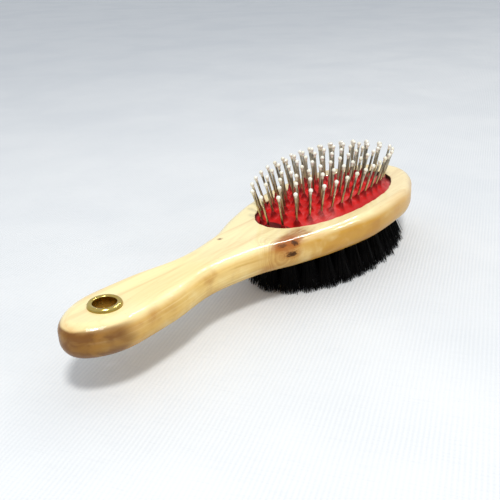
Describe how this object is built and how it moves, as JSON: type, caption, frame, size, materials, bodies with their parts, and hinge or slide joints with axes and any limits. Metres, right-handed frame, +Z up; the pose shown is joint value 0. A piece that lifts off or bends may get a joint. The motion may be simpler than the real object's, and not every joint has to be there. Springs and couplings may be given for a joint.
{
  "type": "double sided pet brush",
  "caption": "Oval wooden pet grooming brush with ball-tipped pins on a rubber air cushion on one face, bristle tufts on the other, and a brass hanging eyelet in the handle.",
  "frame": {"origin": "middle of the brush's box in plan, on the plane of the bristle tips that it stands on", "axes": "+X runs from the hanging eyelet to the head, +Y across the brush, +Z up out of the pin cushion"},
  "size_m": [0.215, 0.0602, 0.0507],
  "materials": {
    "handle_wood": "pale close-grained wood under clear gloss lacquer",
    "eyelet_brass": "bright pressed brass",
    "cushion_rubber": "smooth red rubber, slightly glossy",
    "pin_steel": "plated steel wire",
    "pin_tip": "ivory plastic beads",
    "bristle_nylon": "black nylon filament"
  },
  "bodies": {
    "handle": {"handle_body": "handle_wood", "eyelet": "eyelet_brass", "eyelet_washer": "eyelet_brass", "cushion": "cushion_rubber", "tuft_01": "bristle_nylon", "tuft_02": "bristle_nylon", "tuft_03": "bristle_nylon", "tuft_04": "bristle_nylon", "tuft_05": "bristle_nylon", "tuft_06": "bristle_nylon", "tuft_07": "bristle_nylon", "tuft_08": "bristle_nylon", "tuft_09": "bristle_nylon", "tuft_10": "bristle_nylon", "tuft_11": "bristle_nylon", "tuft_12": "bristle_nylon", "tuft_13": "bristle_nylon", "tuft_14": "bristle_nylon", "tuft_15": "bristle_nylon", "tuft_16": "bristle_nylon", "tuft_17": "bristle_nylon", "tuft_18": "bristle_nylon", "tuft_19": "bristle_nylon", "tuft_20": "bristle_nylon", "tuft_21": "bristle_nylon", "tuft_22": "bristle_nylon", "tuft_23": "bristle_nylon", "tuft_24": "bristle_nylon", "tuft_25": "bristle_nylon", "tuft_26": "bristle_nylon", "tuft_27": "bristle_nylon", "tuft_28": "bristle_nylon", "tuft_29": "bristle_nylon", "tuft_30": "bristle_nylon", "tuft_31": "bristle_nylon", "tuft_32": "bristle_nylon", "tuft_33": "bristle_nylon", "tuft_34": "bristle_nylon", "tuft_35": "bristle_nylon", "tuft_36": "bristle_nylon", "tuft_37": "bristle_nylon", "tuft_38": "bristle_nylon", "tuft_39": "bristle_nylon", "tuft_40": "bristle_nylon", "tuft_41": "bristle_nylon", "tuft_42": "bristle_nylon", "tuft_43": "bristle_nylon", "tuft_44": "bristle_nylon", "tuft_45": "bristle_nylon", "tuft_46": "bristle_nylon", "tuft_47": "bristle_nylon", "tuft_48": "bristle_nylon", "tuft_49": "bristle_nylon"},
    "pin_field": {"pins_outer_near": "pin_steel", "pins_outer_far": "pin_steel", "pins_middle_near": "pin_steel", "pins_middle_far": "pin_steel", "pins_inner_near": "pin_steel", "pins_inner_far": "pin_steel", "pins_centre": "pin_steel"}
  },
  "joints": [
    {"name": "pin_press", "type": "slide", "parent": "handle", "child": "pin_field", "axis": [0, 0, 1], "range_m": [-0.0025, 0], "stiffness_N_per_m": 2500, "deforming": ["cushion"]}
  ]
}
